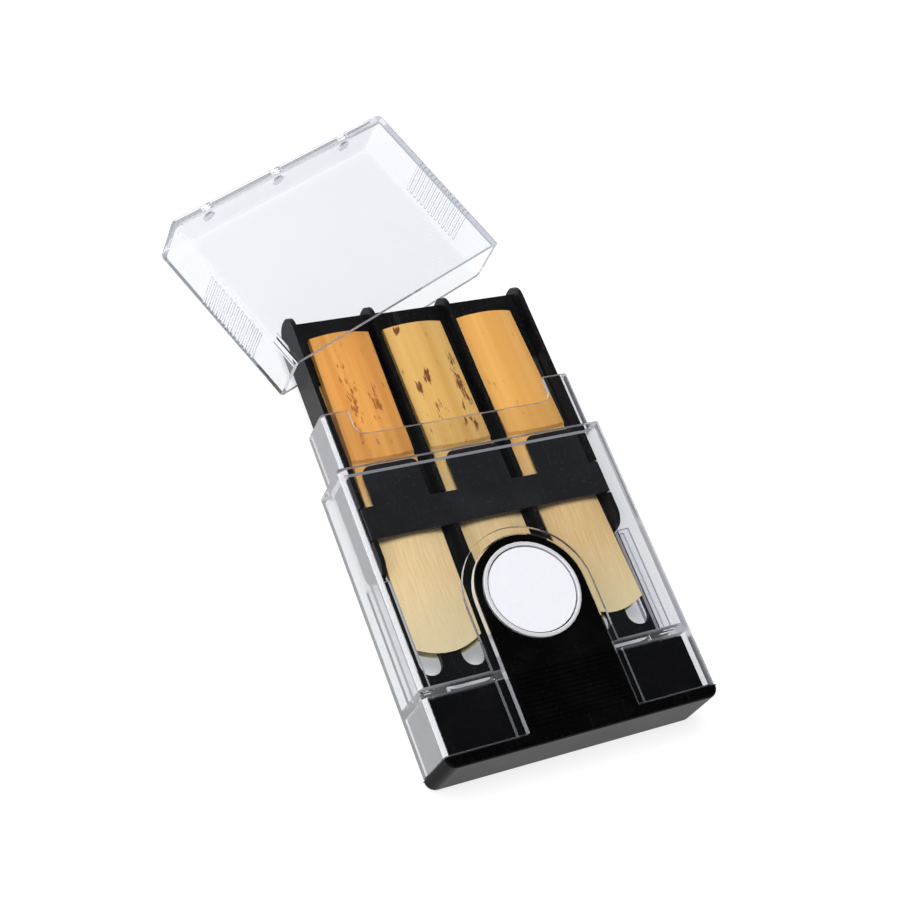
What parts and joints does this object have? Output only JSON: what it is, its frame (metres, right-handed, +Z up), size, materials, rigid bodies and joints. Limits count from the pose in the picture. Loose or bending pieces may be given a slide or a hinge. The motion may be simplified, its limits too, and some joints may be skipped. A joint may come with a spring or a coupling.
{
  "type": "reed case",
  "caption": "Humidity-controlled case for alto saxophone reeds: a clear sleeve with a black slotted tray, sprung clip combs, a humidifier end cap and a clear lid laid beside it.",
  "frame": {"origin": "centre of the sleeve's flat back face, on which the case lies", "axes": "+X across the case to the right, +Y along it from the humidifier cap to the open mouth, +Z up through its depth towards the front panel"},
  "size_m": [0.0763, 0.149, 0.0141],
  "materials": {
    "clear_plastic": "clear, moulded",
    "black_plastic": "satin",
    "gloss_black_plastic": "gloss",
    "cane": "natural bark and cut grain",
    "bezel_silver": "satin",
    "indicator_white": "matte",
    "sponge_foam": "open-cell foam"
  },
  "bodies": {
    "case_body": {"sleeve": "clear_plastic"},
    "tray_body": {"tray": "black_plastic", "clip_comb_front": "black_plastic", "clip_comb_back": "black_plastic"},
    "reed_front_1_body": {"reed_front_1": "cane"},
    "reed_front_2_body": {"reed_front_2": "cane"},
    "reed_front_3_body": {"reed_front_3": "cane"},
    "reed_back_1_body": {"reed_back_1": "cane"},
    "reed_back_2_body": {"reed_back_2": "cane"},
    "reed_back_3_body": {"reed_back_3": "cane"},
    "humidifier_body": {"base_cap": "gloss_black_plastic", "sponge": "sponge_foam", "indicator_bezel": "bezel_silver", "indicator_disc": "indicator_white"},
    "lid_body": {"lid": "clear_plastic"}
  },
  "joints": [
    {"name": "tray_slide", "type": "slide", "parent": "case_body", "child": "tray_body", "axis": [0, 1, 0], "range_m": [0, 0.062]},
    {"name": "humidifier_slide", "type": "slide", "parent": "case_body", "child": "humidifier_body", "axis": [0, -1, 0], "range_m": [0, 0.042]},
    {"name": "lid_slide", "type": "slide", "parent": "tray_body", "child": "lid_body", "axis": [-0.3714, 0.9285, 0], "range_m": [0, 0.045]},
    {"name": "reed_front_1_slide", "type": "slide", "parent": "tray_body", "child": "reed_front_1_body", "axis": [0, 1, 0], "range_m": [0, 0.034]},
    {"name": "reed_front_2_slide", "type": "slide", "parent": "tray_body", "child": "reed_front_2_body", "axis": [0, 1, 0], "range_m": [0, 0.034]},
    {"name": "reed_front_3_slide", "type": "slide", "parent": "tray_body", "child": "reed_front_3_body", "axis": [0, 1, 0], "range_m": [0, 0.014]},
    {"name": "reed_back_1_slide", "type": "slide", "parent": "tray_body", "child": "reed_back_1_body", "axis": [0, 1, 0], "range_m": [0, 0.034]},
    {"name": "reed_back_2_slide", "type": "slide", "parent": "tray_body", "child": "reed_back_2_body", "axis": [0, 1, 0], "range_m": [0, 0.034]},
    {"name": "reed_back_3_slide", "type": "slide", "parent": "tray_body", "child": "reed_back_3_body", "axis": [0, 1, 0], "range_m": [0, 0.014]}
  ]
}
